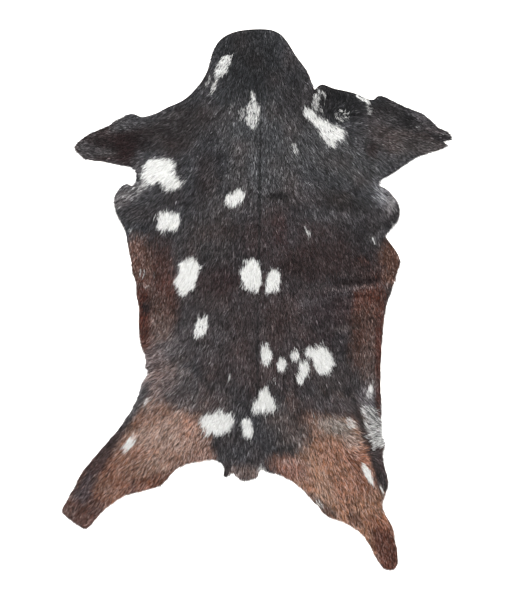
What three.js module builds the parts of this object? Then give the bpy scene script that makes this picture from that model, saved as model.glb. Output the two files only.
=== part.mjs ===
// A whole goatskin, tanned with the hair on and laid out flat, hair side up.
// Millimetres, +Z up. The neck points along +Y and the origin lies on the floor,
// under the middle of the hide.
import * as THREE from 'three';
import { ConvexHull } from 'three/addons/math/ConvexHull.js';

// Skin and lying hair together
const RIM_THICK = 3.2; // cut edge with its short hair
const BACK_THICK = 10.5; // over the middle of the back
const PILE_RISE = 24; // distance from the edge over which most of that depth is gained

// The skin arches off the floor under whatever is higher than this
const LIFT_FROM = 1.2;

// Here and there the dry edge stands off the floor
const EDGE_LIFT = 4.5; // at most
const EDGE_LIFT_REACH = 38; // how far in from the edge it is still felt

// A fold keeps this share of its height at its ends and dies away past them over this length
const FOLD_END = 0.55;
const FOLD_RUN_OUT = 34;

// Steps between the mesh's corners along the edge, along the folds and over the field,
// how far inside the edge a ring of them lies, and the least gaps that they keep
const EDGE_STEP = 11;
const FOLD_STEP = 13;
const FIELD_STEP = 17;
const RING_INSET = 8;
const FOLD_GAP = 4.5;
const RING_GAP = 6.5;
const FIELD_GAP = 10.5;

// Rows of numbers with a name for each column; null is a side that a row leaves out
const table = (columns, rows) =>
  rows.map((row) => Object.fromEntries(columns.split(' ').map((name, i) => [name, row[i]])));

// Neck, from its cut end down to the shoulders
const NECK = table('along left right', [
  [540, -22, 28],
  [533, -52, 46],
  [522, -71, 57],
  [506, -83, 68],
  [486, -90, 80],
  [462, -97, 98],
  [440, -108, 108],
  [419, -124, 117],
]);

// Forelegs, from the shoulder out to the cut at the knee
const LEFT_FORELEG = table('out top under', [
  [-147, 399, null],
  [-180, 384, null],
  [-198, 374, null],
  [-232, 365, null],
  [-240, 370, 257],
  [-248, 372, 265],
  [-278, 361, 271],
  [-292, 350, 274],
  [-324, 336, 278],
  [-344, 325, 282],
  [-356, 315, 293],
  [-363, 307, 300],
]);
const RIGHT_FORELEG = table('out top under', [
  [123, 428, null],
  [131, 432, null],
  [150, 424, null],
  [186, 416, null],
  [205, 410, null],
  [222, 401, null],
  [237, 401, null],
  [240, 407, null],
  [248, 409, 240],
  [268, 400, 251],
  [289, 389, 265],
  [311, 380, 280],
  [326, 375, 288],
  [346, 360, 294],
  [361, 345, 299],
  [376, 339, 305],
  [387, 330, null],
  [391, 321, null],
  [382, null, 310],
  [370, 316, null],
]);

// Trunk, from the armpits down to the pleats in front of the thighs
const TRUNK = table('along left right', [
  [231, -241, 241],
  [227, -249, null],
  [233, -259, null],
  [224, -271, 256],
  [212, -280, 269],
  [196, -284, 281],
  [181, -281, 285],
  [163, -274, 283],
  [144, -264, 270],
  [131, -260, 257],
  [118, -258, 264],
  [98, -255, 279],
  [80, -251, 287],
  [56, -248, 281],
  [33, -240, 274],
  [10, -240, 266],
  [-12, -235, 259],
  [-52, -235, 253],
  [-92, -229, 250],
  [-119, -219, 249],
  [-134, -221, 248],
  [-146, -214, 248],
]);

// Hind legs, from the flank down to the cut at the hock
const LEFT_HIND_LEG = table('along outer inner', [
  [-164, -227, null],
  [-190, -234, null],
  [-223, -251, null],
  [-250, -269, null],
  [-286, -299, null],
  [-317, -326, null],
  [-338, -343, -162],
  [-352, -352, -174],
  [-368, -360, -189],
  [-381, -367, -229],
  [-390, -373, -264],
  [-402, -379, -283],
  [-419, -389, -304],
  [-437, -374, -320],
  [-453, -351, -334],
  [-458, -343, null],
]);
const RIGHT_HIND_LEG = table('along outer inner', [
  [-214, 248, null],
  [-270, 249, null],
  [-290, 255, null],
  [-306, 251, null],
  [-326, 253, null],
  [-348, 260, 47],
  [-372, 262, 86],
  [-390, 255, 103],
  [-409, 250, 120],
  [-430, 258, 140],
  [-444, 267, 177],
  [-460, 273, 203],
  [-476, 275, 219],
  [-500, 281, 231],
  [-524, 282, 244],
  [-536, 277, 255],
  [-540, 268, null],
]);

// Rump between the hind legs, with the stub of the tail
const RUMP = table('across edge', [
  [-138, -326],
  [-117, -322],
  [-85, -318],
  [-63, -333],
  [-67, -350],
  [-60, -353],
  [-48, -344],
  [-29, -360],
  [3, -351],
  [5, -336],
  [25, -344],
]);

// Folds, as crests on a bowed line. Ahead and behind are the widths of the slopes on
// the line's left and right hand; a narrow one is the step of a pleat.
const FOLDS = table('fromX fromY toX toY bow high ahead behind', [
  // spine
  [4, 395, 8, -250, 0, 2.2, 15, 15],
  // ripples of the right flank
  [150, 34, 284, 60, 5, 7.5, 13, 13],
  [118, 0, 270, 24, 6, 10, 13, 12],
  [104, -42, 258, -22, 4, 9, 15, 14],
  [128, -94, 250, -76, -4, 5.5, 15, 16],
  // rolled edge and crease of the left flank
  [-232, 24, -222, -108, -5, 7, 10, 13],
  [-250, 46, -176, 14, -4, 6.5, 10, 8],
  // soft waves on the left of the back
  [-196, -18, -92, 16, 6, 3, 16, 16],
  [-206, 116, -132, 78, -5, 3, 16, 16],
  // pleat where the left flank lies over the thigh
  [-214, -133, -138, -88, 4, 9.5, 18, 5],
  // pleat where the right thigh lies over the flank
  [211, -216, 255, -390, -4, 8.5, 6, 24],
  // turned edges of the chest
  [252, 222, 277, 150, -8, 6, 12, 9],
  [-276, 216, -268, 150, 6, 5.5, 9, 12],
  // humps of the forelegs
  [226, 366, 330, 328, 10, 5.5, 18, 17],
  [-252, 356, -338, 312, 5, 5, 12, 12],
  [122, 404, 176, 372, 6, 4, 14, 14],
  // creases down the hind legs
  [-168, -212, -322, -404, 8, 4.5, 17, 17],
  [158, -330, 256, -512, -6, 4.5, 15, 15],
  // shallow waves at the neck
  [-78, 488, -20, 430, 8, 3.2, 15, 15],
  [66, 470, 110, 392, -6, 3.2, 14, 14],
]);

// Soft lumps of the pile and lifts of the edge, as waves that cross each other: how far
// apart the crests lie along X and along Y, where they start, and how high they are
const PILE_LUMPS = table('overX overY start high', [
  [83, 310, 0, 0.5],
  [-140, 96, 0.6, 0.5],
  [61, -120, 2.0, 0.35],
  [210, 58, 4.1, 0.35],
]);
const EDGE_WAVES = table('overX overY start high', [
  [190, 260, 1.1, 0.6],
  [-330, 118, 3.0, 0.4],
  [126, -170, 0.4, 0.35],
]);

// The edge of the hide as table points, anticlockwise from the left of the neck's end
function edgePoints() {
  const given = (rows, side) => rows.filter((row) => row[side] !== null);
  const downEdge = (rows, side) => given(rows, side).map((row) => [row[side], row.along]);
  const legEdge = (rows, side) => given(rows, side).map((row) => [row.out, row[side]]);
  return [
    ...downEdge(NECK, 'left'),
    ...legEdge(LEFT_FORELEG, 'top'),
    ...legEdge(LEFT_FORELEG, 'under').reverse(),
    ...downEdge(TRUNK, 'left'),
    ...downEdge(LEFT_HIND_LEG, 'outer'),
    ...downEdge(LEFT_HIND_LEG, 'inner').reverse(),
    ...RUMP.map((row) => [row.across, row.edge]),
    ...downEdge(RIGHT_HIND_LEG, 'inner'),
    ...downEdge(RIGHT_HIND_LEG, 'outer').reverse(),
    ...downEdge(TRUNK, 'right').reverse(),
    ...legEdge(RIGHT_FORELEG, 'under'),
    ...legEdge(RIGHT_FORELEG, 'top').reverse(),
    ...downEdge(NECK, 'right').reverse(),
  ].map(([x, y]) => new THREE.Vector3(x, y, 0));
}

// A smooth closed line through the table points, stepped so that each of them is kept
function smoothEdge(points) {
  const curve = new THREE.CatmullRomCurve3(points, true, 'centripetal');
  const steps = [];
  points.forEach((point, i) => {
    const count = Math.ceil(point.distanceTo(points[(i + 1) % points.length]) / EDGE_STEP);
    for (let k = 0; k < count; k++) {
      const { x, y } = curve.getPoint((i + k / count) / points.length);
      steps.push(new THREE.Vector2(x, y));
    }
  });
  return steps;
}

function distanceToEdge(point, edge) {
  const nearest = new THREE.Vector3();
  const flat = new THREE.Vector3(point.x, point.y, 0);
  let least = Infinity;
  edge.forEach((start, i) => {
    const end = edge[(i + 1) % edge.length];
    const side = new THREE.Line3(
      new THREE.Vector3(start.x, start.y, 0),
      new THREE.Vector3(end.x, end.y, 0),
    );
    side.closestPointToPoint(flat, true, nearest);
    least = Math.min(least, nearest.distanceTo(flat));
  });
  return least;
}

function onHide(point, edge) {
  let inside = false;
  edge.forEach((a, i) => {
    const b = edge[(i + 1) % edge.length];
    const crosses = a.y > point.y !== b.y > point.y;
    if (crosses && point.x < a.x + ((point.y - a.y) / (b.y - a.y)) * (b.x - a.x)) inside = !inside;
  });
  return inside;
}

// Where a fold's crest lies at a share of its length, and the direction to its left
function crestAt(fold, share) {
  const from = new THREE.Vector2(fold.fromX, fold.fromY);
  const to = new THREE.Vector2(fold.toX, fold.toY);
  const along = to.clone().sub(from);
  const left = new THREE.Vector2(-along.y, along.x).normalize();
  const bowed = 4 * fold.bow * share * (1 - share);
  return { point: from.lerp(to, share).addScaledVector(left, bowed), left, length: along.length() };
}

// Height that one fold adds at a point: a rounded slope on each side, run out at both ends
function foldHeight(fold, point) {
  const { point: from, left, length } = crestAt(fold, 0);
  const along = new THREE.Vector2(left.y, -left.x);
  const offset = point.clone().sub(from);
  const share = offset.dot(along) / length;
  const held = THREE.MathUtils.clamp(share, 0, 1);
  const beyond = (share - held) * length;
  const aside = offset.dot(left) - 4 * fold.bow * held * (1 - held);
  const width = aside > 0 ? fold.ahead : fold.behind;
  const arch = FOLD_END + (1 - FOLD_END) * Math.sin(Math.PI * held);
  const runOut = Math.max(0, arch - Math.abs(beyond) / FOLD_RUN_OUT);
  return runOut * fold.high * Math.exp(-((aside / width) ** 2));
}

const relief = (point) => Math.max(...FOLDS.map((fold) => foldHeight(fold, point)));

const swell = (waves, { x, y }) =>
  waves.reduce((height, wave) => {
    const turns = x / wave.overX + y / wave.overY;
    return height + wave.high * Math.sin(2 * Math.PI * turns + wave.start);
  }, 0);

// Height of the underside and of the hair over a point that far from the edge
function heights(point, inward) {
  const edgeLift = EDGE_LIFT * swell(EDGE_WAVES, point) * Math.exp(-inward / EDGE_LIFT_REACH);
  const skin = relief(point) + Math.max(0, edgeLift);
  const gained = 1 - Math.exp(-inward / PILE_RISE);
  const pile = RIM_THICK + (BACK_THICK - RIM_THICK) * gained;
  const bottom = Math.max(0, skin - LIFT_FROM);
  return { bottom, top: pile + skin + swell(PILE_LUMPS, point) * gained };
}

// Corners of the mesh: the edge, the folds, a ring just inside the edge, then a field of
// rows, each corner nudged a little so that no four lie on one circle
function corners(edge) {
  const kept = [...edge];
  const add = (point, gap, inset) => {
    const crowded = kept.some((other) => other.distanceTo(point) < gap);
    if (!crowded && onHide(point, edge) && distanceToEdge(point, edge) > inset) kept.push(point);
  };
  for (const fold of FOLDS) {
    const count = Math.round(crestAt(fold, 0).length / FOLD_STEP);
    for (const aside of [0, fold.ahead, -fold.behind]) {
      for (let k = 0; k <= count; k++) {
        const { point, left } = crestAt(fold, k / count);
        add(point.addScaledVector(left, aside), FOLD_GAP, FOLD_GAP);
      }
    }
  }
  edge.forEach((point, i) => {
    const next = edge[(i + 1) % edge.length];
    const inwards = new THREE.Vector2(point.y - next.y, next.x - point.x).setLength(RING_INSET);
    add(point.clone().lerp(next, 0.5).add(inwards), RING_GAP, RING_GAP);
  });
  const reach = new THREE.Box2().setFromPoints(edge);
  const rowStep = FIELD_STEP * Math.sqrt(0.75);
  for (let row = 0, y = reach.min.y; y < reach.max.y; y += rowStep, row++) {
    for (let x = reach.min.x + (row % 2) * FIELD_STEP * 0.5; x < reach.max.x; x += FIELD_STEP) {
      const nudge = new THREE.Vector2(Math.sin(3 * x + y), Math.cos(2 * y + x));
      add(nudge.add(new THREE.Vector2(x, y)), FIELD_GAP, FIELD_GAP);
    }
  }
  return kept;
}

// Triangles between the corners, anticlockwise from above. On a bowl, the underside of
// the points' convex hull is their Delaunay net.
function net(points, edge) {
  const bowl = Math.max(...points.map((point) => point.length()));
  const lifted = points.map((p) => new THREE.Vector3(p.x, p.y, p.lengthSq() / bowl));
  const number = new Map(lifted.map((point, i) => [point, i]));
  const hull = new ConvexHull().setFromPoints(lifted);
  return hull.faces
    .filter((face) => face.normal.z < 0)
    .map((face) => [0, 1, 2].map((k) => number.get(face.getEdge(k).head().point)).reverse())
    .filter((corner) => {
      const [a, b, c] = corner.map((i) => points[i]);
      return onHide(a.clone().add(b).add(c).divideScalar(3), edge);
    });
}

// The net as one closed sheet: hair side, flesh side and the cut rim between them, with
// the middle of its box over the origin
function sheetGeometry(points, triangles, edge) {
  const count = points.length;
  const top = [];
  const under = [];
  points.forEach((point, i) => {
    const { bottom, top: hair } = heights(point, i < edge.length ? 0 : distanceToEdge(point, edge));
    top.push(point.x, point.y, hair);
    under.push(point.x, point.y, bottom);
  });
  const faces = [];
  const open = new Map();
  for (const [a, b, c] of triangles) {
    faces.push(a, b, c, a + count, c + count, b + count);
    for (const [from, to] of [[a, b], [b, c], [c, a]]) {
      if (!open.delete(`${to} ${from}`)) open.set(`${from} ${to}`, [from, to]);
    }
  }
  for (const [from, to] of open.values()) {
    faces.push(from, from + count, to + count, from, to + count, to);
  }
  const geometry = new THREE.BufferGeometry();
  geometry.setAttribute('position', new THREE.Float32BufferAttribute([...top, ...under], 3));
  geometry.setIndex(faces);
  geometry.computeVertexNormals();
  geometry.computeBoundingBox();
  const middle = geometry.boundingBox.getCenter(new THREE.Vector3());
  return geometry.translate(-middle.x, -middle.y, 0);
}

function goatskin() {
  const edge = smoothEdge(edgePoints());
  const points = corners(edge);
  const hair = new THREE.MeshStandardMaterial({ color: 0x37363a, roughness: 0.85, metalness: 0 });
  const hide = new THREE.Mesh(sheetGeometry(points, net(points, edge), edge), hair);
  hide.name = 'goatskin';
  return hide;
}

const part = new THREE.Group();
part.add(goatskin());

export default part;
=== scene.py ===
import math
import bmesh
import bpy
import numpy as np
from mathutils.bvhtree import BVHTree
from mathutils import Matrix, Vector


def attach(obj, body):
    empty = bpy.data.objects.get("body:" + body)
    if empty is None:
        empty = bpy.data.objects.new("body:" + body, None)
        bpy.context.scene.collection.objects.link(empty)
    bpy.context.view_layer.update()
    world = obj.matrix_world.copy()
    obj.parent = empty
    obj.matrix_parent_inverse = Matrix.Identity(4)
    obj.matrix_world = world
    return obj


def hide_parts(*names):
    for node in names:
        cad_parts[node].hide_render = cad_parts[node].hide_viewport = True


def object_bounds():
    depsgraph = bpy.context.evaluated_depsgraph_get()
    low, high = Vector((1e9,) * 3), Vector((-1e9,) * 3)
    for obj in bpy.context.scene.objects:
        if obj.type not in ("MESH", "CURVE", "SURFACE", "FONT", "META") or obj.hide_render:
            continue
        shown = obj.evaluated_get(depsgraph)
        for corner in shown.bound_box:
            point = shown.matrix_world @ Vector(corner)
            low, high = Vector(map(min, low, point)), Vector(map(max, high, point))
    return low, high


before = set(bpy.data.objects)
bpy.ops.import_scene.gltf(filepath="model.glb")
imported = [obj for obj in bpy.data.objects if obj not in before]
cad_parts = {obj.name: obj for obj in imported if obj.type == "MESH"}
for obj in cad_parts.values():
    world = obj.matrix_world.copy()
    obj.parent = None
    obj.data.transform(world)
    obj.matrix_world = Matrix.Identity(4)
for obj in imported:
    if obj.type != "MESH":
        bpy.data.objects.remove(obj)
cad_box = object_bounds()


# The view
# The hide lies on a white floor and is seen from straight above through a long lens,
# with the neck at the top. One pixel of the 515x600 frame is 2 mm on the hide.
MM = 0.001
VIEW_HEIGHT = 3.6
VIEW_MIDDLE_X = 1 * MM  # the frame's middle lies half a pixel to the right of the origin
FRAME_LONG_SIDE = 600 * 2 * MM
SENSOR = 36.0

bpy.context.scene.view_settings.view_transform = "Standard"
lens = bpy.data.cameras.new("view")
lens.sensor_width = SENSOR
lens.lens = SENSOR * VIEW_HEIGHT / FRAME_LONG_SIDE
lens.clip_end = 50
camera = bpy.data.objects.new("view", lens)
camera.location = (VIEW_MIDDLE_X, 0, VIEW_HEIGHT)
bpy.context.collection.objects.link(camera)
bpy.context.scene.camera = camera


# The skin
# One goat's skin, tanned soft and about 2 mm thick, cut off at the neck, knees and hocks.
# It lies on the floor on its suede side and arches up where the hide is folded.
SKIN_THICK = 2.0 * MM
HAIR_PAST_EDGE = 2.5 * MM  # how far the hair hides the floor where it hangs over the cut edge
EDGE_LET_OUT = 1 * MM  # how far the edge is let out all round before it is drawn in for that
WELD = 0.01 * MM
FLESH_SIDE = -0.02  # faces of the solid whose normal points up less than this are its underside


def select_faces(piece, wanted):
    """Leaves the faces selected whose (normal, centre) are wanted, with the piece in edit mode."""
    bpy.ops.object.select_all(action="DESELECT")
    piece.select_set(True)
    bpy.context.view_layer.objects.active = piece
    bpy.ops.object.mode_set(mode="EDIT")
    bpy.ops.mesh.select_mode(type="FACE")
    bpy.ops.mesh.select_all(action="DESELECT")
    bpy.ops.object.mode_set(mode="OBJECT")
    for face in piece.data.polygons:
        face.select = bool(wanted(face.normal, face.center))
    bpy.ops.object.mode_set(mode="EDIT")


def corners_of(mesh):
    """A mesh's corners as an array."""
    flat = np.empty(len(mesh.vertices) * 3)
    mesh.vertices.foreach_get("co", flat)
    return flat.reshape(-1, 3)


def apply_modifier(piece, kind, **settings):
    """Adds one modifier and applies it at once."""
    bpy.ops.object.select_all(action="DESELECT")
    piece.select_set(True)
    bpy.context.view_layer.objects.active = piece
    modifier = piece.modifiers.new(kind.lower(), kind)
    for name, value in settings.items():
        setattr(modifier, name, value)
    bpy.ops.object.modifier_apply(modifier=modifier.name)


skin = bpy.data.objects.new("skin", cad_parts["goatskin"].data.copy())
skin.data.materials.clear()
bpy.context.collection.objects.link(skin)
select_faces(skin, lambda normal, centre: True)
bpy.ops.mesh.remove_doubles(threshold=WELD)
bpy.ops.object.mode_set(mode="OBJECT")
select_faces(skin, lambda normal, centre: normal.z > FLESH_SIDE)
bpy.ops.mesh.delete(type="FACE")
bpy.ops.mesh.select_all(action="SELECT")
bpy.ops.mesh.flip_normals()
bpy.ops.object.mode_set(mode="OBJECT")


def edge_loop(mesh):
    """The corners round the open edge of a sheet, in order, with the sheet on the left."""
    net = bmesh.new()
    net.from_mesh(mesh)
    after = {}
    for edge in net.edges:
        if edge.is_boundary:
            loop = edge.link_loops[0]
            after[loop.vert.index] = loop.link_loop_next.vert.index
    where = [vertex.co.to_tuple() for vertex in net.verts]
    net.free()
    start = next(iter(after))
    loop = [start]
    while after[loop[-1]] != start:
        loop.append(after[loop[-1]])
    return loop, np.array([where[i] for i in loop])


# The cut edge lies back under the hair where the hair points off the skin, down the hide.
rim, rim_at = edge_loop(skin.data)
outline = rim_at[:, :2]
ahead = np.roll(outline, -1, 0) - np.roll(outline, 1, 0)
inwards = np.stack([-ahead[:, 1], ahead[:, 0]], 1) / np.linalg.norm(ahead, axis=1)[:, None]
outline = outline + inwards * (HAIR_PAST_EDGE * (0.5 + 0.5 * inwards[:, 1:]) - EDGE_LET_OUT)
for vertex, (x, y) in zip(rim, outline):
    skin.data.vertices[vertex].co.x = x
    skin.data.vertices[vertex].co.y = y

apply_modifier(skin, "SUBSURF", levels=1, render_levels=1)

# Creases that are too fine for the solid, as soft troughs: where each starts and ends,
# its sag sideways, its depth and its width, all in mm
CREASES = [
    dict(x=156, y=34, to_x=258, to_y=42, bow=-2, deep=2.4, wide=5),
    dict(x=122, y=-4, to_x=236, to_y=8, bow=3, deep=1.8, wide=5),
    dict(x=96, y=-44, to_x=216, to_y=-40, bow=-4, deep=1.8, wide=6),
    dict(x=24, y=206, to_x=66, to_y=203, bow=1, deep=1.8, wide=4),
    dict(x=-240, y=30, to_x=-200, to_y=16, bow=2, deep=1.6, wide=4),
    dict(x=-226, y=-6, to_x=-222, to_y=-24, bow=2, deep=1.6, wide=4),
    dict(x=-230, y=-148, to_x=-160, to_y=-112, bow=2, deep=2.0, wide=5),
    dict(x=-300, y=318, to_x=-252, to_y=322, bow=4, deep=1.2, wide=6),
    dict(x=300, y=366, to_x=330, to_y=352, bow=-3, deep=1.6, wide=6),
    dict(x=198, y=-196, to_x=250, to_y=-372, bow=-5, deep=2.6, wide=6),
]


def soft_lines(x, y, lines):
    """How deep the troughs are at each place, in metres. Each is half as deep at its ends."""
    deep = np.zeros_like(x)
    for line in lines:
        start = np.array([line["x"], line["y"]]) * MM
        run = np.array([line["to_x"], line["to_y"]]) * MM - start
        length = np.hypot(*run)
        along = ((x - start[0]) * run[0] + (y - start[1]) * run[1]) / length**2
        aside = ((y - start[1]) * run[0] - (x - start[0]) * run[1]) / length
        held = along.clip(0, 1)
        aside = aside - 4 * line["bow"] * MM * held * (1 - held)
        past = np.abs(along - held) * length
        across = np.hypot(aside, past) / (line["wide"] * MM)
        deep += line["deep"] * MM * np.exp(-(across**2)) * (0.5 + 2 * held * (1 - held))
    return deep


places = corners_of(skin.data)
troughs = soft_lines(places[:, 0], places[:, 1], CREASES)
places[:, 2] = (places[:, 2] - troughs).clip(0)
skin.data.vertices.foreach_set("co", places.ravel())
skin.data.update()


# A chart of the hide, as grids over its box: how far each place is inside the cut edge,
# and how high the skin's hair side lies there.
CHART_STEP = 2.5 * MM
CHART_MARGIN = 30 * MM
DROOP = 0.25  # how far the hair past the edge falls for each metre that it reaches out
LEAST_HEIGHT = 0.5 * MM  # of the hair out there, so that it stays off the floor

low = np.array(cad_box[0])[:2] - CHART_MARGIN
high = np.array(cad_box[1])[:2] + CHART_MARGIN
chart_x = np.arange(low[0], high[0], CHART_STEP)
chart_y = np.arange(low[1], high[1], CHART_STEP)


def inside_edge(x, y):
    """Distance to the cut edge in metres, above zero on the hide and below zero off it."""
    least = np.full(x.shape, np.inf)
    inside = np.zeros(x.shape, bool)
    for (ax, ay), (bx, by) in zip(outline, np.roll(outline, -1, 0)):
        run_x, run_y = bx - ax, by - ay
        share = ((x - ax) * run_x + (y - ay) * run_y) / (run_x**2 + run_y**2)
        share = share.clip(0, 1)
        gap = (x - ax - share * run_x) ** 2 + (y - ay - share * run_y) ** 2
        least = np.minimum(least, gap)
        if ay != by:
            inside ^= ((ay > y) != (by > y)) & (x < ax + (y - ay) / (by - ay) * run_x)
    return np.sqrt(least) * np.where(inside, 1, -1)


def skin_heights():
    """The height of the hair side over the chart, carried on past the edge with a droop."""
    tree = BVHTree.FromPolygons(
        [vertex.co for vertex in skin.data.vertices],
        [face.vertices[:] for face in skin.data.polygons],
    )
    heights = np.full((len(chart_x), len(chart_y)), np.nan)
    for i, x in enumerate(chart_x):
        for j, y in enumerate(chart_y):
            if chart_edge[i, j] > -CHART_STEP:
                hit = tree.ray_cast((x, y, 1), (0, 0, -1))[0]
                if hit:
                    heights[i, j] = hit.z + SKIN_THICK
    while np.isnan(heights).any():
        padded = np.pad(heights, 1, constant_values=np.nan)
        around = np.stack([padded[2:, 1:-1], padded[:-2, 1:-1], padded[1:-1, 2:], padded[1:-1, :-2]])
        known = ~np.isnan(around)
        mean = np.where(known, around, 0).sum(0) / np.maximum(known.sum(0), 1)
        fresh = np.isnan(heights) & known.any(0)
        heights[fresh] = (mean[fresh] - DROOP * CHART_STEP).clip(LEAST_HEIGHT)
    return heights


chart_edge = inside_edge(*np.meshgrid(chart_x, chart_y, indexing="ij"))
chart_skin = skin_heights()


def read_chart(chart, x, y):
    """A chart's value at each place, blended between its four nearest grid points."""
    u = ((x - low[0]) / CHART_STEP).clip(0, len(chart_x) - 1.001)
    v = ((y - low[1]) / CHART_STEP).clip(0, len(chart_y) - 1.001)
    i, j = u.astype(int), v.astype(int)
    s, t = u - i, v - j
    near = chart[i, j] * (1 - s) + chart[i + 1, j] * s
    far = chart[i, j + 1] * (1 - s) + chart[i + 1, j + 1] * s
    return near * (1 - t) + far * t


apply_modifier(skin, "SOLIDIFY", thickness=SKIN_THICK, offset=1, use_even_offset=False)


# The coat's colours
# A black goat with a greyish bloom on its hair, russet along the belly, fawn on the
# thighs, and white spots. Each hair takes the colour of the place where its middle lies.


def linear(hex_colour):
    """An sRGB hex colour as linear red, green and blue."""
    parts = np.array([int(hex_colour[i:i + 2], 16) for i in (1, 3, 5)]) / 255
    return np.where(parts <= 0.04045, parts / 12.92, ((parts + 0.055) / 1.055) ** 2.4)


CHARCOAL = linear("#39383b")
WHITE_HAIR = linear("#eeeeeb")

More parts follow.
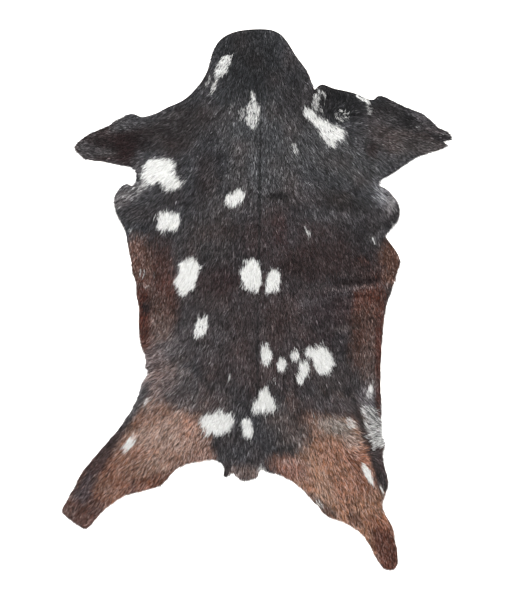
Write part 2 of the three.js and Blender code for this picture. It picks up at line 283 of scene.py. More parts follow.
# Soft-edged patches laid over the charcoal one after the other, in mm: where the middle
# is, how far the patch reaches along its lean and across it, and how much it covers. The
# darker and lighter ones along a fold are its painted shade and painted highlight.
PATCHES = [
    # the bloom over the shoulders and down the back
    dict(x=14, y=300, along=130, across=84, lean=90, cover=0.9, colour="#4a494b"),
    dict(x=162, y=286, along=88, across=44, lean=-24, cover=0.8, colour="#4c4a4b"),
    dict(x=-16, y=470, along=84, across=62, lean=90, cover=0.85, colour="#29292b"),
    dict(x=62, y=428, along=58, across=34, lean=90, cover=0.75, colour="#2b2b2e"),
    dict(x=-94, y=262, along=44, across=30, lean=70, cover=0.8, colour="#312f32"),
    dict(x=-122, y=204, along=54, across=20, lean=4, cover=0.6, colour="#2f2c2f"),
    dict(x=106, y=214, along=46, across=30, lean=-10, cover=0.6, colour="#4f4b4d"),
    dict(x=60, y=90, along=150, across=110, lean=0, cover=0.6, colour="#3f3334"),
    dict(x=-90, y=120, along=110, across=50, lean=80, cover=0.5, colour="#413a39"),
    dict(x=130, y=76, along=100, across=40, lean=4, cover=0.8, colour="#332524"),
    dict(x=46, y=142, along=36, across=16, lean=90, cover=0.65, colour="#3d2b2b"),
    dict(x=-76, y=36, along=40, across=30, lean=0, cover=0.7, colour="#39292a"),
    dict(x=178, y=196, along=50, across=20, lean=-14, cover=0.75, colour="#2b2828"),
    dict(x=206, y=150, along=44, across=13, lean=-8, cover=0.7, colour="#2c292b"),
    dict(x=136, y=168, along=46, across=15, lean=-6, cover=0.6, colour="#545052"),
    dict(x=206, y=122, along=36, across=12, lean=-8, cover=0.6, colour="#2c2627"),
    dict(x=20, y=-90, along=140, across=110, lean=0, cover=0.7, colour="#453939"),
    dict(x=-130, y=-50, along=80, across=64, lean=90, cover=0.7, colour="#423b3c"),
    dict(x=166, y=-30, along=64, across=58, lean=0, cover=0.85, colour="#382d2f"),
    dict(x=168, y=-156, along=70, across=38, lean=0, cover=0.7, colour="#413939"),
    # the left flank, with painted shade and a painted highlight along its creases
    dict(x=-200, y=30, along=76, across=40, lean=94, cover=0.9, colour="#4d322c"),
    dict(x=-236, y=68, along=58, across=24, lean=98, cover=0.9, colour="#66493f"),
    dict(x=-196, y=-24, along=38, across=34, lean=90, cover=0.8, colour="#523c36"),
    dict(x=-202, y=-80, along=48, across=36, lean=100, cover=0.9, colour="#6c564f"),
    dict(x=-228, y=-34, along=84, across=13, lean=92, cover=0.95, colour="#4c2a22"),
    dict(x=-190, y=-110, along=50, across=24, lean=30, cover=0.85, colour="#605859"),
    # the next three rows: dark lines in two creases and a light line along a third, as painted shade
    # and a painted highlight
    dict(x=-180, y=-128, along=46, across=5, lean=24, cover=0.8, colour="#232021"),
    dict(x=-223, y=-16, along=12, across=9, lean=70, cover=0.85, colour="#2a2122"),
    dict(x=-222, y=27, along=20, across=3, lean=-22, cover=0.5, colour="#7a6b66"),
    # the right flank, with the painted shade and painted highlights of its folds, and painted shade
    # in the short crease beside the spine
    dict(x=266, y=72, along=48, across=22, lean=84, cover=0.95, colour="#624336"),
    dict(x=224, y=-2, along=70, across=30, lean=88, cover=0.9, colour="#533025"),
    dict(x=230, y=-16, along=46, across=22, lean=90, cover=0.85, colour="#5a3429"),
    dict(x=216, y=-72, along=66, across=29, lean=90, cover=0.85, colour="#533a32"),
    dict(x=228, y=-124, along=64, across=20, lean=88, cover=0.75, colour="#624e48"),
    dict(x=243, y=-146, along=100, across=7, lean=90, cover=0.9, colour="#4c281f"),
    dict(x=218, y=-192, along=36, across=18, lean=70, cover=0.8, colour="#6c6466"),
    # the next two rows: a dark line in the lap of a fold and a light band below it, as painted shade
    # and painted highlight
    dict(x=200, y=36, along=50, across=8, lean=4, cover=0.95, colour="#251b1b"),
    dict(x=190, y=24, along=90, across=6, lean=4, cover=0.5, colour="#5e4f4e"),
    # the next three rows: light, dark and light lines along two more folds, as painted highlight,
    # painted shade and painted highlight
    dict(x=112, y=-4, along=34, across=6, lean=8, cover=0.4, colour="#5b5356"),
    dict(x=124, y=-55, along=18, across=6, lean=12, cover=0.75, colour="#211c1d"),
    dict(x=172, y=-58, along=30, across=6, lean=8, cover=0.6, colour="#5c5250"),
    dict(x=222, y=58, along=44, across=14, lean=8, cover=0.75, colour="#352b2b"),
    # near-black in the short crease beside the spine: painted shade
    dict(x=44, y=208, along=23, across=5.5, lean=-5, cover=1.0, colour="#0f0f10"),
    # the forelegs
    dict(x=-290, y=312, along=88, across=36, lean=18, cover=0.95, colour="#261c1c"),
    dict(x=-266, y=304, along=22, across=32, lean=0, cover=0.8, colour="#241617"),
    dict(x=-306, y=296, along=26, across=9, lean=-8, cover=0.7, colour="#454040"),
    dict(x=-344, y=296, along=32, across=20, lean=-20, cover=0.8, colour="#464142"),
    dict(x=-256, y=350, along=44, across=14, lean=10, cover=0.6, colour="#454345"),
    dict(x=-158, y=342, along=56, across=42, lean=40, cover=0.8, colour="#2f2929"),
    dict(x=256, y=306, along=70, across=34, lean=-30, cover=0.6, colour="#484445"),
    dict(x=316, y=312, along=80, across=26, lean=-10, cover=0.85, colour="#494140"),
    dict(x=230, y=298, along=12, across=16, lean=0, cover=0.75, colour="#322726"),
    dict(x=282, y=376, along=60, across=26, lean=-26, cover=0.85, colour="#2a292b"),
    dict(x=160, y=396, along=56, across=32, lean=-14, cover=0.95, colour="#1f1e20"),
    dict(x=374, y=324, along=30, across=12, lean=-22, cover=0.9, colour="#232124"),
    dict(x=302, y=361, along=20, across=14, lean=-50, cover=0.9, colour="#19181a"),
    dict(x=356, y=336, along=26, across=4, lean=-16, cover=0.5, colour="#5e5a5d"),
    # lighter grey along the right foreleg's upper edge: painted sheen
    dict(x=320, y=370, along=26, across=7, lean=-34, cover=0.6, colour="#504c50"),
    dict(x=264, y=200, along=40, across=22, lean=-56, cover=0.85, colour="#68666a"),
    dict(x=270, y=164, along=30, across=9, lean=58, cover=0.8, colour="#262427"),
    dict(x=-254, y=212, along=40, across=16, lean=32, cover=0.75, colour="#646062"),
    # the left thigh
    dict(x=-196, y=-176, along=68, across=36, lean=34, cover=0.95, colour="#80716e"),
    dict(x=-228, y=-310, along=154, across=72, lean=42, cover=1.0, colour="#936d5b"),
    dict(x=-122, y=-312, along=34, across=20, lean=14, cover=0.9, colour="#9c7566"),
    dict(x=-176, y=-278, along=84, across=44, lean=34, cover=0.85, colour="#b29181"),
    dict(x=-314, y=-376, along=94, across=62, lean=42, cover=0.9, colour="#875f4d"),
    dict(x=-214, y=-364, along=56, across=16, lean=16, cover=0.7, colour="#7e5342"),
    dict(x=-356, y=-424, along=50, across=52, lean=40, cover=0.9, colour="#573e38"),
    dict(x=-256, y=-226, along=70, across=13, lean=56, cover=0.95, colour="#4b4648"),
    dict(x=-310, y=-308, along=70, across=20, lean=57, cover=0.95, colour="#3c2f2f"),
    dict(x=-342, y=-376, along=30, across=16, lean=60, cover=0.8, colour="#4c4448"),
    dict(x=-248, y=-374, along=16, across=6, lean=90, cover=0.8, colour="#3d2b28"),
    dict(x=-122, y=-196, along=84, across=36, lean=-20, cover=0.8, colour="#4f4a4c"),
    dict(x=-54, y=-294, along=30, across=26, lean=-50, cover=0.9, colour="#3f3b3d"),
    # the right thigh, and the flap behind its crease, whose dark band is partly dark hair and partly
    # painted shade
    dict(x=180, y=-368, along=150, across=88, lean=-60, cover=1.0, colour="#9b7059"),
    dict(x=148, y=-376, along=64, across=46, lean=-50, cover=0.75, colour="#b98c73"),
    dict(x=210, y=-338, along=48, across=22, lean=-66, cover=0.8, colour="#885e4c"),
    dict(x=184, y=-278, along=26, across=16, lean=-52, cover=0.85, colour="#a98b7c"),
    dict(x=152, y=-252, along=36, across=18, lean=-14, cover=0.8, colour="#8f8279"),
    dict(x=142, y=-210, along=62, across=20, lean=-8, cover=0.85, colour="#4b4446"),
    dict(x=126, y=-410, along=42, across=11, lean=-40, cover=0.75, colour="#4f3c37"),
    dict(x=262, y=-432, along=30, across=4, lean=-64, cover=0.8, colour="#3a2c2a"),
    dict(x=190, y=-390, along=76, across=28, lean=-62, cover=0.6, colour="#8c5f4a"),
    dict(x=226, y=-462, along=66, across=48, lean=-70, cover=0.8, colour="#a17157"),
    dict(x=262, y=-508, along=58, across=26, lean=-76, cover=0.95, colour="#61382b"),
    dict(x=194, y=-438, along=20, across=11, lean=-60, cover=0.75, colour="#523b33"),
    dict(x=246, y=-330, along=62, across=15, lean=-80, cover=1.0, colour="#393031"),
    # the dark band between the thigh and the flap: dark hair, darkened further as painted shade of
    # the fold
    dict(x=225, y=-296, along=94, across=7, lean=-70, cover=0.9, colour="#2e2829"),
    # the rump and the stub of the tail
    dict(x=58, y=-260, along=50, across=38, lean=-40, cover=0.9, colour="#595150"),
    dict(x=50, y=-304, along=28, across=13, lean=8, cover=0.85, colour="#2b2829"),
    dict(x=-6, y=-300, along=60, across=44, lean=90, cover=0.85, colour="#434043"),
    dict(x=66, y=-334, along=44, across=18, lean=-20, cover=0.85, colour="#90685a"),
    dict(x=-24, y=-346, along=36, across=16, lean=0, cover=0.8, colour="#6e605c"),
    dict(x=-64, y=-342, along=20, across=9, lean=70, cover=0.85, colour="#2e292b"),
    # the dark line down the spine
    dict(x=5, y=180, along=170, across=2.6, lean=89.4, cover=0.8, colour="#1a1a1b"),
    dict(x=1, y=-130, along=120, across=4, lean=90, cover=0.6, colour="#1e1d1f"),
]

# White spots in mm: where the middle is, its length and width, the lean of its length
# from the X axis, how much of the hair there is white, and how white where it isn't pure
SPOTS = [
    # on the neck and the shoulders
    dict(x=-68, y=467, long=48, wide=20, lean=60, cover=0.66, tone=0.87),
    dict(x=-87, y=424, long=34, wide=8, lean=67, cover=0.58, tone=0.8),
    dict(x=-97, y=437, long=16, wide=6, lean=64, cover=0.55, tone=0.65),
    dict(x=-9, y=371, long=54, wide=24, lean=82, cover=0.66, tone=0.92),
    dict(x=-7, y=396, long=34, wide=9, lean=97, cover=0.65, tone=0.85),
    dict(x=-30, y=372, long=20, wide=11, lean=72, cover=0.38, tone=0.8),
    dict(x=76, y=302, long=16, wide=10, lean=-70, cover=0.6, tone=0.7),
    dict(x=-196, y=263, long=60, wide=38, lean=8, cover=1, tone=0.95),
    dict(x=-180, y=244, long=64, wide=38, lean=-40, cover=1, tone=0.95),
    dict(x=-208, y=250, long=46, wide=38, lean=30, cover=0.9, tone=0.95),
    dict(x=-220, y=231, long=38, wide=13, lean=32, cover=0.5, tone=0.75),
    dict(x=-178, y=157, long=48, wide=39, lean=-10, cover=0.97),
    dict(x=-44, y=203, long=45, wide=27, lean=38, cover=0.9),
    # down the back
    dict(x=-137, y=62, long=40, wide=42, lean=84, cover=1),
    dict(x=-141, y=38, long=54, wide=38, lean=66, cover=1),
    dict(x=-11, y=48, long=64, wide=39, lean=95, cover=0.97),
    dict(x=33, y=37, long=45, wide=29, lean=84, cover=0.9),
    dict(x=-112, y=-54, long=40, wide=24, lean=72, cover=0.85),
    dict(x=19, y=-108, long=38, wide=22, lean=84, cover=0.95),
    dict(x=50, y=-129, long=28, wide=17, lean=80, cover=0.9),
    dict(x=77, y=-111, long=18, wide=18, lean=0, cover=0.85),
    dict(x=96, y=-137, long=27, wide=22, lean=74, cover=0.9),
    dict(x=87, y=-158, long=22, wide=17, lean=70, cover=0.85),
    dict(x=131, y=-120, long=56, wide=40, lean=104, cover=1),
    dict(x=111, y=-108, long=36, wide=18, lean=-14, cover=0.95),
    dict(x=14, y=-201, long=45, wide=25, lean=86, cover=0.97),
    dict(x=2, y=-212, long=30, wide=20, lean=50, cover=0.85),
    dict(x=25, y=-208, long=34, wide=26, lean=-60, cover=0.97),
    dict(x=-19, y=-257, long=41, wide=23, lean=98, cover=0.95),
    dict(x=-81, y=-245, long=61, wide=46, lean=14, cover=0.97),
    # on the thighs and the flap
    dict(x=-255, y=-288, long=31, wide=17, lean=58, cover=0.95),
    dict(x=-223, y=-205, long=14, wide=8, lean=50, cover=0.9),
    dict(x=186, y=-246, long=22, wide=16, lean=-60, cover=0.6, tone=0.85),
    dict(x=220, y=-344, long=34, wide=13, lean=-62, cover=0.9),
    dict(x=228, y=-361, long=22, wide=6, lean=-70, cover=0.9),
    dict(x=112, y=-226, long=10, wide=3, lean=-60, cover=0.8, tone=0.6),
    dict(x=250, y=-380, long=18, wide=3.5, lean=-62, cover=0.8),
    dict(x=233, y=-253, long=88, wide=31, lean=-75, cover=0.54, tone=0.82),
    dict(x=227, y=-179, long=34, wide=8, lean=68, cover=0.6, tone=0.9),
    dict(x=126, y=-408, long=18, wide=8, lean=-30, cover=0.5, tone=0.8),
    # at the root of the right foreleg
    dict(x=129, y=413, long=20, wide=6, lean=-18, cover=0.6, tone=0.75),
    dict(x=118, y=396, long=30, wide=14, lean=84, cover=0.65, tone=0.75),
    dict(x=126, y=381, long=16, wide=7, lean=-30, cover=0.5, tone=0.65),
    dict(x=111, y=365, long=50, wide=18, lean=-44, cover=0.8, tone=0.95),
    dict(x=128, y=350, long=44, wide=20, lean=-42, cover=0.75, tone=0.95),
    dict(x=144, y=324, long=36, wide=22, lean=-60, cover=0.78, tone=0.95),
    dict(x=150, y=335, long=54, wide=30, lean=-10, cover=0.78, tone=1),
    dict(x=171, y=368, long=26, wide=18, lean=-20, cover=0.45, tone=0.75),
    dict(x=214, y=400, long=34, wide=8, lean=-34, cover=0.6, tone=0.8),
    dict(x=224, y=380, long=20, wide=4, lean=-80, cover=0.6, tone=0.7),
    # single white hairs in the dark coat
    dict(x=-52, y=382, long=10, wide=2.5, lean=-60, cover=1, tone=0.6),
    dict(x=101, y=136, long=15, wide=9, lean=-60, cover=0.6, tone=0.8),
    dict(x=234, y=116, long=18, wide=2.5, lean=-72, cover=1, tone=0.8),
    dict(x=-233, y=54, long=14, wide=2.5, lean=80, cover=0.9, tone=0.6),
    dict(x=-226, y=54, long=12, wide=2.5, lean=80, cover=0.9, tone=0.5),
    dict(x=-206, y=50, long=14, wide=2.5, lean=86, cover=0.9, tone=0.5),
    dict(x=-255, y=138, long=12, wide=8, lean=60, cover=0.4, tone=0.5),
    dict(x=-256, y=210, long=54, wide=16, lean=26, cover=0.25, tone=0.4),
    dict(x=-272, y=366, long=22, wide=6, lean=30, cover=0.6, tone=0.6),
    dict(x=262, y=196, long=56, wide=18, lean=-56, cover=0.3, tone=0.4),
    dict(x=272, y=150, long=8, wide=3, lean=60, cover=0.6, tone=0.6),
    dict(x=28, y=-164, long=16, wide=8, lean=0, cover=0.35, tone=0.6),
    dict(x=176, y=392, long=96, wide=44, lean=-14, cover=0.1, tone=0.22),
    dict(x=330, y=346, long=110, wide=36, lean=-24, cover=0.09, tone=0.25),
    dict(x=-55, y=-155, long=20, wide=3, lean=80, cover=0.8, tone=0.7),
    dict(x=10, y=-338, long=16, wide=9, lean=-20, cover=0.6, tone=0.7),
]


FULL = 2.6  # how full the corners of patches and spots are: 2 would make plain ovals
PATCH_END = 1.35  # where a patch fades out, against its reach
PATCH_FADE = 0.7  # how wide its soft edge is, against its reach
BLENDED = 0.6  # the share of a patch that tints all hair: the rest shows as hairs of its colour
SPOT_RAGGED = 0.38  # how much farther out some white hairs stand than others

# Layers of noise: how strong each is, how large its blots are in mm, and its seed
WANDER = [(0.16, 34, 3), (0.1, 12, 4)]  # of the patches' edges
RAGGED = [(0.2, 9, 5)]  # of the spots' edges
BLOOM = [(0.15, 46, 6), (0.16, 15, 7)]  # lighter and darker hair
WARMTH = [(0.12, 34, 8)]  # redder and greyer hair
WARMTH_LIMITS = (-0.04, 0.1)
WARM_TINT = np.array([1, -0.15, -0.6])  # what warmth adds to red, green and blue
NOISE_CELLS = (97, 89)  # the noise repeats after so many blots


def blots(x, y, size, seed):
    """Soft noise from -1 to 1, with blots about as large as size."""
    cells = np.random.default_rng(seed).uniform(-1, 1, NOISE_CELLS)
    wide, high = NOISE_CELLS
    u, v = x / size, y / size
    i, j = np.floor(u).astype(int), np.floor(v).astype(int)
    s, t = u - i, v - j
    s, t = s * s * (3 - 2 * s), t * t * (3 - 2 * t)
    a, b = cells[i % wide, j % high], cells[(i + 1) % wide, j % high]
    c, d = cells[i % wide, (j + 1) % high], cells[(i + 1) % wide, (j + 1) % high]
    return (a * (1 - s) + b * s) * (1 - t) + (c * (1 - s) + d * s) * t


def noise(x, y, layers):
    """The sum of several layers of soft noise."""
    return sum(strength * blots(x, y, size * MM, seed) for strength, size, seed in layers)


def reach_of(x, y, mark, half_long, half_wide):
    """How far out each place lies in an oval with full corners, which ends at 1."""
    lean = math.radians(mark["lean"])
    off_x, off_y = x - mark["x"] * MM, y - mark["y"] * MM
    along = np.abs(off_x * math.cos(lean) + off_y * math.sin(lean)) / (half_long * MM)
    across = np.abs(off_y * math.cos(lean) - off_x * math.sin(lean)) / (half_wide * MM)
    return (along**FULL + across**FULL) ** (1 / FULL)


def coat_colour(x, y, chance):
    """The linear colour of the hair at each place, and how white it is.

    Each hair has its own chance from 0 to 1: the lower it is, the sooner the hair takes the
    colour of a patch or turns white.
    """
    colour = np.tile(CHARCOAL, (len(x), 1))
    wander = noise(x, y, WANDER)
    for patch in PATCHES:
        out = reach_of(x, y, patch, patch["along"], patch["across"]) + wander
        there = (PATCH_END - out).clip(0, PATCH_FADE) / PATCH_FADE * patch["cover"]
        mixed = (there * BLENDED + (1 - BLENDED) * (there > chance))[:, None]
        colour = colour * (1 - mixed) + linear(patch["colour"]) * mixed
    white = np.zeros(len(x))
    ragged = noise(x, y, RAGGED) + SPOT_RAGGED * (chance - 0.5)
    for spot in SPOTS:
        out = reach_of(x, y, spot, spot["long"] / 2, spot["wide"] / 2) + ragged
        here = (out < 1) & (chance < spot["cover"])
        white = np.where(here, np.maximum(white, spot.get("tone", 1)), white)
    bloom = np.exp(noise(x, y, BLOOM))
    warmth = noise(x, y, WARMTH).clip(*WARMTH_LIMITS)[:, None] * WARM_TINT
    colour = colour * bloom[:, None] * (1 + warmth)
    return colour + (WHITE_HAIR - colour) * white[:, None], white


# The combing
# The hair lies back from the neck, falls away from the spine on both sides and runs out
# along the legs. At the root of the right foreleg it turns round a whorl.

# A place in mm, the way the hair points there in degrees from the X axis, and its length
# in mm. Between these places the direction and the length are blended.
COMBING = [
    dict(x=0, y=520, heading=-90, length=7),
    dict(x=-70, y=470, heading=-118, length=7.5),
    dict(x=66, y=480, heading=-68, length=7.5),
    dict(x=0, y=420, heading=-91, length=8.5),
    dict(x=-100, y=410, heading=-124, length=8.5),
    dict(x=90, y=400, heading=-66, length=8.5),
    dict(x=-184, y=350, heading=-145, length=7.5),
    dict(x=-264, y=335, heading=-166, length=7),
    dict(x=-340, y=310, heading=-172, length=6),
    dict(x=-198, y=256, heading=-143, length=10.5),
    dict(x=-240, y=205, heading=-148, length=11),
    dict(x=-100, y=280, heading=-118, length=9.5),
    dict(x=-14, y=376, heading=-94, length=9.5),
    dict(x=0, y=250, heading=-90, length=8.5),
    dict(x=126, y=300, heading=-60, length=9.5),
    dict(x=186, y=240, heading=-52, length=8.5),
    dict(x=246, y=214, heading=-40, length=11),
    dict(x=268, y=186, heading=-66, length=10.5),
    dict(x=230, y=320, heading=-32, length=7.5),
    dict(x=286, y=345, heading=-12, length=7.5),
    dict(x=370, y=322, heading=-14, length=7),
    dict(x=280, y=275, heading=-34, length=7),
    dict(x=-180, y=160, heading=-110, length=10.5),
    dict(x=-44, y=204, heading=-108, length=9.5),
    dict(x=90, y=140, heading=-74, length=8.5),
    dict(x=200, y=110, heading=-72, length=7.5),
    dict(x=266, y=80, heading=-80, length=7.5),
    dict(x=-140, y=50, heading=-116, length=10.5),
    dict(x=-244, y=90, heading=-92, length=7),
    dict(x=-10, y=50, heading=-92, length=9.5),
    dict(x=110, y=20, heading=-78, length=8.5),
    dict(x=240, y=-30, heading=-80, length=7.5),
    dict(x=-112, y=-54, heading=-114, length=10.5),
    dict(x=-228, y=-20, heading=-96, length=7),
    dict(x=-214, y=-124, heading=-154, length=10.5),
    dict(x=18, y=-108, heading=-89, length=10.5),
    dict(x=124, y=-120, heading=-72, length=10.5),
    dict(x=236, y=-150, heading=-96, length=8.5),
    dict(x=-82, y=-242, heading=-118, length=12),
    dict(x=14, y=-204, heading=-94, length=11),
    dict(x=-20, y=-268, heading=-94, length=12),
    dict(x=-180, y=-230, heading=-128, length=12),
    dict(x=-234, y=-300, heading=-132, length=12),
    dict(x=-320, y=-390, heading=-130, length=10.5),
    dict(x=-360, y=-436, heading=-128, length=8.5),
    dict(x=-134, y=-306, heading=-112, length=12),
    dict(x=-40, y=-340, heading=-96, length=10.5),
    dict(x=66, y=-330, heading=-72, length=12),
    dict(x=140, y=-290, heading=-72, length=12),
    dict(x=186, y=-370, heading=-68, length=12),
    dict(x=222, y=-234, heading=-44, length=12),
    dict(x=234, y=-262, heading=-12, length=12),
    dict(x=238, y=-290, heading=40, length=11),
    dict(x=246, y=-340, heading=-76, length=8.5),
    dict(x=240, y=-460, heading=-70, length=10.5),
    dict(x=264, y=-530, heading=-78, length=7.5),
]
COMBING_SOFT = 18  # mm: how gently one place gives way to the next
COMBING_FALL = 1.6  # how fast a place's pull fades with distance
WHORL = dict(x=168, y=370, reach=34, core=4, strength=2.0, turn=70)  # in mm and degrees


def combed(x, y):
    """The unit direction of the hair over the floor at each place, and its length in metres."""
    sum_x, sum_y, length, weight = (np.zeros(len(x)) for _ in range(4))
    for row in COMBING:
        gap = (x - row["x"] * MM) ** 2 + (y - row["y"] * MM) ** 2
        pull = 1 / (gap + (COMBING_SOFT * MM) ** 2) ** COMBING_FALL
        sum_x += pull * math.cos(math.radians(row["heading"]))
        sum_y += pull * math.sin(math.radians(row["heading"]))
        length += pull * row["length"] * MM
        weight += pull
    sum_x, sum_y = sum_x / weight, sum_y / weight
    off_x, off_y = x - WHORL["x"] * MM, y - WHORL["y"] * MM
    gap = np.hypot(off_x, off_y) + 1e-6
    turn = math.radians(WHORL["turn"])
    fading = np.exp(-((gap / (WHORL["reach"] * MM)) ** 2))
    swirl = WHORL["strength"] * fading / (gap + WHORL["core"] * MM)
    sum_x += swirl * (off_x * math.cos(turn) - off_y * math.sin(turn))
    sum_y += swirl * (off_x * math.sin(turn) + off_y * math.cos(turn))
    size = np.hypot(sum_x, sum_y) + 1e-9
    return sum_x / size, sum_y / size, length / weight


# The hair
# Stiff, straight goat's hair, which lies flat in pointed tufts inside broader locks. Each
# strand here stands for a dozen hairs or so: a three-sided spike that ends in a point.
HAIR_PIECES = ["hair_of_neck", "hair_of_chest", "hair_of_back", "hair_of_loin", "hair_of_hind_legs"]
STRANDS = 46000  # a piece
STRAND_WIDE = 1.25 * MM
TUFT = 2.3 * MM  # from one tuft to the next
TUFT_SLIM = 2.0  # its length for each unit of its width
LOCK = 13 * MM
CLUMP_CELLS = 401  # the scatter of tufts and locks repeats after so many
PITCH_TRIM = 0.997  # brings the number of roots near what is wanted
ROOT_INSET = 0.2 * MM  # from the cut edge
ROOT_DEPTH = 0.4 * MM
LIE_AT_EDGE = 6.0  # degrees that the hair rises from the skin
LIE_ON_BACK = 18.0
EDGE_BLEND = 24 * MM
TUFT_DRAW = 0.45  # how far the tips are drawn to the middle line of their tuft
STRAY_PAST_EDGE = 5 * MM  # how much farther than HAIR_PAST_EDGE the longest hairs reach
LEAST_LEFT = 0.12  # of a hair's length where it is cut short at the edge

# How much hairs differ: the spread over the locks, over the tufts and from hair to hair
STRAY = (6, 6, 8)  # degrees off the combing
LENGTH_SPREAD = (0, 0.1, 0.2)
LENGTH_LIMITS = (0.5, 1.7)
LIE_SPREAD = (0, 0.16, 0.16)
LIE_LIMITS = (0.4, 1.6)
WIDTH_LIMITS = (0.7, 1.35)
DRIFT = (0, 2.8, 1.7)  # mm along the hair, of the place whose colour it takes
SHADE_SPREAD = (0.1, 0.26, 1.1)  # of its lightness, as an exponent
SHADE_LIMITS = (-2.2, 1.6)
FADE_LIGHT = 0.25  # how fast hairs lose their hue past the lightness FADE_FROM: painted glints on the lightest hairs
FADE_FROM = 1.1
FADE_TUFT = 0.2  # the spread of the loss over the tufts
FADE_LIMITS = (-0.35, 0.5)
TUFT_CHANCE = 0.6  # how far the hairs of a tuft turn white or take a patch's colour together

# A share of the hairs is nearly black, another silver, and a few are white by themselves.
# The silver ones are partly silver hair and partly painted glints of the hair's gloss.
GUARD = 0.16
SILVER_AND_GLINT = 0.03
LONE_WHITE = 0.0006
GUARD_SHADE = -0.9
SILVER_AND_GLINT_SHADE = 0.7
LONE_WHITE_SHADE = 1.6
MEAN_SHADE = 0.26  # taken off all, so that the coat keeps the lightness of its patches
WHITE_EVEN = 0.82  # how much less the white hairs differ
BRIGHTEST_WHITE = 0.93
BRIGHTEST_DARK = 0.72

# The shape and shade of one strand
RIDGE = 0.4  # its height for each unit of its width
PAINTED_SHADE_ROOT_TO_TIP = np.array([-0.6, -0.6, -0.4, 0.35])  # painted shade: how its corners differ from its colour, the roots darker and the tip lighter, for the shade that the hairs cast on each other
TIP_EVEN_WHITE = 0.7  # how much less they do in white hair
BRIGHTEST_TIP = 0.95
MAP_MARGIN = 0.12  # round each strand in its square of the map


def clumps(x, y, run_x, run_y, size, slim, seed):
    """The middle of the clump of hair that each root belongs to, and that clump's number."""
    shift = np.random.default_rng(seed).uniform(-0.5, 0.5, (CLUMP_CELLS, CLUMP_CELLS, 2))
    i, j = np.floor(x / size).astype(int), np.floor(y / size).astype(int)
    least = np.full(len(x), np.inf)
    middle = np.zeros((len(x), 2))
    number = np.zeros(len(x), int)
    for step_i in range(-2, 3):
        for step_j in range(-2, 3):
            a, b = (i + step_i) % CLUMP_CELLS, (j + step_j) % CLUMP_CELLS
            at_x = (i + step_i + 0.5 + shift[a, b, 0]) * size
            at_y = (j + step_j + 0.5 + shift[a, b, 1]) * size
            along = (x - at_x) * run_x + (y - at_y) * run_y
            across = (y - at_y) * run_x - (x - at_x) * run_y
            gap = along**2 / slim + across**2 * slim
            nearer = gap < least
            least = np.where(nearer, gap, least)
            middle[nearer] = np.stack([at_x, at_y], 1)[nearer]
            number = np.where(nearer, a * CLUMP_CELLS + b, number)
    return middle, number


def strand_roots():
    """An even scatter of roots over the hide, from the neck down."""
    draw = np.random.default_rng(11)
    wanted = STRANDS * len(HAIR_PIECES)
    area = (chart_edge > 0).sum() * CHART_STEP**2
    pitch = math.sqrt(area / wanted) * PITCH_TRIM
    x, y = np.meshgrid(np.arange(low[0], high[0], pitch), np.arange(low[1], high[1], pitch))
    x = x.ravel() + draw.uniform(-0.5, 0.5, x.size) * pitch
    y = y.ravel() + draw.uniform(-0.5, 0.5, y.size) * pitch
    on_hide = read_chart(chart_edge, x, y) > ROOT_INSET
    x, y = x[on_hide], y[on_hide]
    order = np.argsort(-y)
    return x[order], y[order]


def spread(by_lock, by_tuft, by_hair, spreads):
    """How far each hair is off the mean, from draws for its lock, its tuft and itself."""
    return spreads[0] * by_lock + spreads[1] * by_tuft + spreads[2] * by_hair


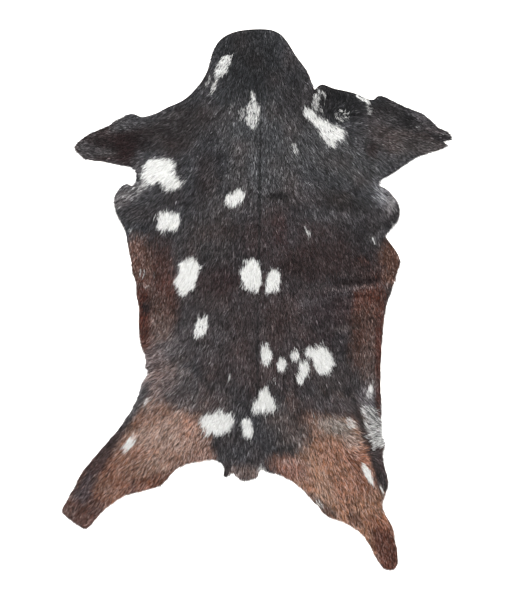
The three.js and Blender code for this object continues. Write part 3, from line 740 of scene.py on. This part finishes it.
def strands(x, y):
    """Root, tip, width, colour and whiteness of the strand at each root."""
    draw = np.random.default_rng(12)
    count = len(x)
    run_x, run_y, length = combed(x, y)
    middle, tuft = clumps(x, y, run_x, run_y, TUFT, TUFT_SLIM, 13)
    _, lock = clumps(x, y, run_x, run_y, LOCK, TUFT_SLIM, 15)
    of_tuft = np.random.default_rng(14).normal(0, 1, (CLUMP_CELLS**2, 6))[tuft]
    of_lock = np.random.default_rng(16).normal(0, 1, (CLUMP_CELLS**2, 4))[lock]  # two are spare
    of_hair = draw.normal(0, 1, (count, 4))

    # Which way it points, how long it is and how flat it lies
    stray = np.radians(spread(of_lock[:, 0], of_tuft[:, 0], of_hair[:, 0], STRAY))
    run_x, run_y = (
        run_x * np.cos(stray) - run_y * np.sin(stray),
        run_x * np.sin(stray) + run_y * np.cos(stray),
    )
    inward = read_chart(chart_edge, x, y)
    depth = 1 - np.exp(-inward / EDGE_BLEND)
    longer = 1 + spread(0, of_tuft[:, 1], of_hair[:, 1], LENGTH_SPREAD)
    length = length * longer.clip(*LENGTH_LIMITS)
    steeper = 1 + spread(0, of_tuft[:, 2], of_hair[:, 2], LIE_SPREAD)
    lie = LIE_AT_EDGE + (LIE_ON_BACK - LIE_AT_EDGE) * depth
    lie = np.radians(lie * steeper.clip(*LIE_LIMITS))

    # Root and tip, with the tip drawn to its tuft and cut short past the edge
    side_x, side_y = run_y, -run_x
    aside = (middle[:, 0] - x) * side_x + (middle[:, 1] - y) * side_y
    flat = length * np.cos(lie)
    tip_x = x + run_x * flat + side_x * aside * TUFT_DRAW
    tip_y = y + run_y * flat + side_y * aside * TUFT_DRAW
    past = -read_chart(chart_edge, tip_x, tip_y)
    allowed = HAIR_PAST_EDGE + STRAY_PAST_EDGE * draw.uniform(0, 1, count) ** 3
    kept = (inward + allowed) / (inward + past).clip(1e-6)
    kept = np.where(past > allowed, kept, 1).clip(LEAST_LEFT, 1)
    tip_x, tip_y, length = x + (tip_x - x) * kept, y + (tip_y - y) * kept, length * kept
    root = np.stack([x, y, read_chart(chart_skin, x, y) - ROOT_DEPTH], 1)
    rise = length * np.sin(lie)
    tip = np.stack([tip_x, tip_y, read_chart(chart_skin, tip_x, tip_y) + rise], 1)

    # The colour of the place where its middle lies, or a little before or behind it
    chance = np.random.default_rng(17).uniform(0, 1, CLUMP_CELLS**2)[tuft]
    chance = TUFT_CHANCE * chance + (1 - TUFT_CHANCE) * draw.uniform(0, 1, count)
    drift = spread(0, of_tuft[:, 3], of_hair[:, 3], DRIFT) * MM
    ahead = (0.5 * flat + drift) * kept
    colour, white = coat_colour(x + run_x * ahead, y + run_y * ahead, chance)

    # How light it is: tuft by tuft, hair by hair, and by the kind of hair
    by_hair = draw.normal(0, SHADE_SPREAD[2], count).clip(*SHADE_LIMITS)
    shade = SHADE_SPREAD[0] * of_lock[:, 1] + SHADE_SPREAD[1] * of_tuft[:, 4] + by_hair
    kind = draw.uniform(0, 1, count)
    shade = shade + np.where(kind < GUARD, GUARD_SHADE, 0)
    shade = shade + np.where(kind > 1 - SILVER_AND_GLINT, SILVER_AND_GLINT_SHADE, 0)
    shade = shade + np.where(kind > 1 - LONE_WHITE, LONE_WHITE_SHADE, 0)
    shade = np.exp((shade - MEAN_SHADE) * (1 - WHITE_EVEN * white))
    colour = colour * shade[:, None]
    # the lightest hairs turn greyer as painted glints, and the tufts differ in hue at random
    faded = FADE_LIGHT * (shade - FADE_FROM).clip(0) + FADE_TUFT * of_tuft[:, 5]
    faded = faded.clip(*FADE_LIMITS)[:, None]
    colour = colour + (colour.mean(1, keepdims=True) - colour) * faded
    most = np.where(white > 0, BRIGHTEST_WHITE, BRIGHTEST_DARK) / colour.max(1)
    colour = (colour * most.clip(0, 1)[:, None]).clip(0, BRIGHTEST_WHITE)
    wide = STRAND_WIDE * draw.uniform(*WIDTH_LIMITS, count)
    return dict(root=root, tip=tip, colour=colour, wide=wide, white=white)


def strand_mesh(name, hairs):
    """One mesh of three-sided spikes, each with its colour, painted shade from root to tip, and its
    own square of the map.
    """
    root, tip, wide = hairs["root"], hairs["tip"], hairs["wide"][:, None]
    count = len(root)
    run = tip - root
    run /= np.linalg.norm(run, axis=1)[:, None]
    side = np.cross(run, (0, 0, 1))
    side /= np.linalg.norm(side, axis=1)[:, None]
    ridge = np.cross(side, run)
    back = root + ridge * wide * RIDGE
    corners = np.stack([root - side * wide / 2, root + side * wide / 2, back, tip], 1)
    spike = np.array([[0, 3, 1], [0, 2, 3], [1, 3, 2], [0, 1, 2]])
    faces = (spike[None] + 4 * np.arange(count)[:, None, None]).reshape(-1, 3)
    mesh = bpy.data.meshes.new(name)
    mesh.vertices.add(4 * count)
    mesh.vertices.foreach_set("co", corners.ravel())
    mesh.loops.add(faces.size)
    mesh.loops.foreach_set("vertex_index", faces.ravel())
    mesh.polygons.add(len(faces))
    mesh.polygons.foreach_set("loop_start", np.arange(0, faces.size, 3))
    mesh.update(calc_edges=True)
    tint_and_painted_shade = mesh.attributes.new("tint_and_painted_shade", "FLOAT_COLOR", "POINT")
    # painted shade along each strand, darkest at the root and lightest at the tip
    painted_shade = 1 + PAINTED_SHADE_ROOT_TO_TIP * (1 - TIP_EVEN_WHITE * hairs["white"][:, None])
    rgba = np.ones((count, 4, 4))
    rgba[:, :, :3] = (hairs["colour"][:, None] * painted_shade[:, :, None]).clip(0, BRIGHTEST_TIP)
    tint_and_painted_shade.data.foreach_set("color", rgba.ravel())
    squares = math.ceil(math.sqrt(count))
    number = np.arange(count)
    cell = np.stack([number % squares, number // squares], 1)[:, None]
    near, far = MAP_MARGIN, 1 - MAP_MARGIN
    inner = np.array([[near, near], [far, near], [near, far], [far, far]])
    place = (cell + inner[None]) / squares
    chart = mesh.uv_layers.new(name="OFBake")
    chart.data.foreach_set("uv", place.reshape(-1, 2)[faces.ravel()].ravel())
    return mesh


def add_node(tree, kind, links=None, **settings):
    """Adds a node, sets its sockets and properties by name, and links its inputs."""
    node = tree.nodes.new(kind)
    for name, value in settings.items():
        if hasattr(node, name) and name not in node.inputs:
            setattr(node, name, value)
        else:
            node.inputs[name.replace("_", " ")].default_value = value
    for name, source in (links or {}).items():
        tree.links.new(source, node.inputs[name])
    return node


def new_material(name):
    """An empty node material and its tree."""
    material = bpy.data.materials.new(name)
    material.use_nodes = True
    material.node_tree.nodes.clear()
    return material, material.node_tree


def goat_hair():
    """Hair is smooth keratin: dull where it lies in the mass, with a soft silky gloss along it."""
    material, tree = new_material("goat hair")
    tint_and_painted_shade = add_node(tree, "ShaderNodeAttribute", attribute_name="tint_and_painted_shade")
    shader = add_node(
        tree, "ShaderNodeBsdfPrincipled", {"Base Color": tint_and_painted_shade.outputs["Color"]},
        Roughness=0.42, IOR=1.55,
    )
    shader.inputs["Specular IOR Level"].default_value = 0.2
    add_node(tree, "ShaderNodeOutputMaterial", {"Surface": shader.outputs[0]})
    return material


hair_material = goat_hair()
root_x, root_y = strand_roots()
all_strands = strands(root_x, root_y)
share = np.array_split(np.arange(len(root_x)), len(HAIR_PIECES))
for name, part in zip(HAIR_PIECES, share):
    part = part[np.lexsort((root_x[part], np.round(root_y[part] / LOCK)))]
    mesh = strand_mesh(name, {key: value[part] for key, value in all_strands.items()})
    mesh.materials.append(hair_material)
    piece = bpy.data.objects.new(name, mesh)
    bpy.context.collection.objects.link(piece)
    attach(piece, "root")


# The skin's two sides
# The hair side is seen only as a dark ground between the strands, darkened as painted shade under
# the hair. The flesh side and the cut edge are pale suede, buffed to a short nap.
UP = 0.3  # faces that point up more than this are the hair side, and smooth like the flesh side
GROUND_SHADE = 0.3  # painted shade under the hair: the ground's lightness against the hair's
GROUND_WHITE = 0.5  # how much lighter it is under white hair


def hair_ground():
    """The short down at the hairs' roots takes their colour, darkened as painted shade under the
    hair.
    """
    material, tree = new_material("undercoat_in_painted_shade")
    tint_and_painted_shade = add_node(tree, "ShaderNodeAttribute", attribute_name="tint_and_painted_shade")
    shader = add_node(
        tree, "ShaderNodeBsdfPrincipled", {"Base Color": tint_and_painted_shade.outputs["Color"]}, Roughness=0.9,
    )
    shader.inputs["Specular IOR Level"].default_value = 0.1
    add_node(tree, "ShaderNodeOutputMaterial", {"Surface": shader.outputs[0]})
    return material


def suede():
    """Tanned suede: a warm off-white with soft blotches and a short nap."""
    material, tree = new_material("suede")
    where = add_node(tree, "ShaderNodeTexCoord").outputs["Object"]
    blotches = add_node(tree, "ShaderNodeTexNoise", {"Vector": where}, Scale=14.0, Detail=4.0)
    nap = add_node(tree, "ShaderNodeTexNoise", {"Vector": where}, Scale=900.0, Detail=2.0)
    ramp = add_node(tree, "ShaderNodeValToRGB", {"Fac": blotches.outputs["Fac"]})
    ramp.color_ramp.elements[0].position = 0.3
    ramp.color_ramp.elements[0].color = (*linear("#b9a58d"), 1)
    ramp.color_ramp.elements[1].position = 0.7
    ramp.color_ramp.elements[1].color = (*linear("#d8cbb6"), 1)
    bump = add_node(
        tree, "ShaderNodeBump", {"Height": nap.outputs["Fac"]}, Strength=0.4, Distance=0.3 * MM,
    )
    shader = add_node(
        tree, "ShaderNodeBsdfPrincipled",
        {"Base Color": ramp.outputs["Color"], "Normal": bump.outputs["Normal"]}, Roughness=0.95,
    )
    shader.inputs["Specular IOR Level"].default_value = 0.15
    add_node(tree, "ShaderNodeOutputMaterial", {"Surface": shader.outputs[0]})
    return material


skin.data.materials.append(suede())
skin.data.materials.append(hair_ground())
places = corners_of(skin.data)
ground, white = coat_colour(places[:, 0], places[:, 1], np.full(len(places), 0.5))
rgba = np.ones((len(places), 4))
# the ground takes the coat's colour, darkened as painted shade, and less so under white hair
rgba[:, :3] = ground * (GROUND_SHADE + GROUND_WHITE * white[:, None])
tint_and_painted_shade = skin.data.attributes.new("tint_and_painted_shade", "FLOAT_COLOR", "POINT")
tint_and_painted_shade.data.foreach_set("color", rgba.ravel())
for face in skin.data.polygons:
    face.material_index = int(face.normal.z > UP)
    face.use_smooth = abs(face.normal.z) > UP
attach(skin, "root")
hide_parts("goatskin")


# The floor and the light
# A plain white floor under a broad, soft light from overhead, as in a studio for flat goods.
FLOOR_SIZE = 40
FLOOR_DROP = 0.2 * MM  # below the hide's lowest point, so that the two don't flicker
SKY_STRENGTH = 1.45

bpy.ops.mesh.primitive_plane_add(size=FLOOR_SIZE, location=(0, 0, -FLOOR_DROP))
floor = bpy.context.object
floor.name = "floor"
paint, paint_tree = new_material("white floor")
floor_shader = add_node(
    paint_tree, "ShaderNodeBsdfPrincipled", Base_Color=(0.93, 0.93, 0.93, 1), Roughness=0.9,
)
add_node(paint_tree, "ShaderNodeOutputMaterial", {"Surface": floor_shader.outputs[0]})
floor.data.materials.append(paint)

sky = bpy.data.worlds.new("studio")
sky.use_nodes = True
sky.node_tree.nodes["Background"].inputs["Color"].default_value = (1, 1, 1, 1)
sky.node_tree.nodes["Background"].inputs["Strength"].default_value = SKY_STRENGTH
bpy.context.scene.world = sky

SOFT_BOXES = [
    dict(name="key", at=(-1.3, 1.2, 2.4), size=1.2, watts=110),
    dict(name="fill", at=(1.6, -0.6, 2.4), size=1.6, watts=34),
]
for box in SOFT_BOXES:
    bulb = bpy.data.lights.new(box["name"], "AREA")
    bulb.size = box["size"]
    bulb.energy = box["watts"]
    lamp = bpy.data.objects.new(box["name"], bulb)
    lamp.location = box["at"]
    lamp.rotation_mode = "QUATERNION"
    lamp.rotation_quaternion = lamp.location.to_track_quat("Z", "Y")
    bpy.context.collection.objects.link(lamp)
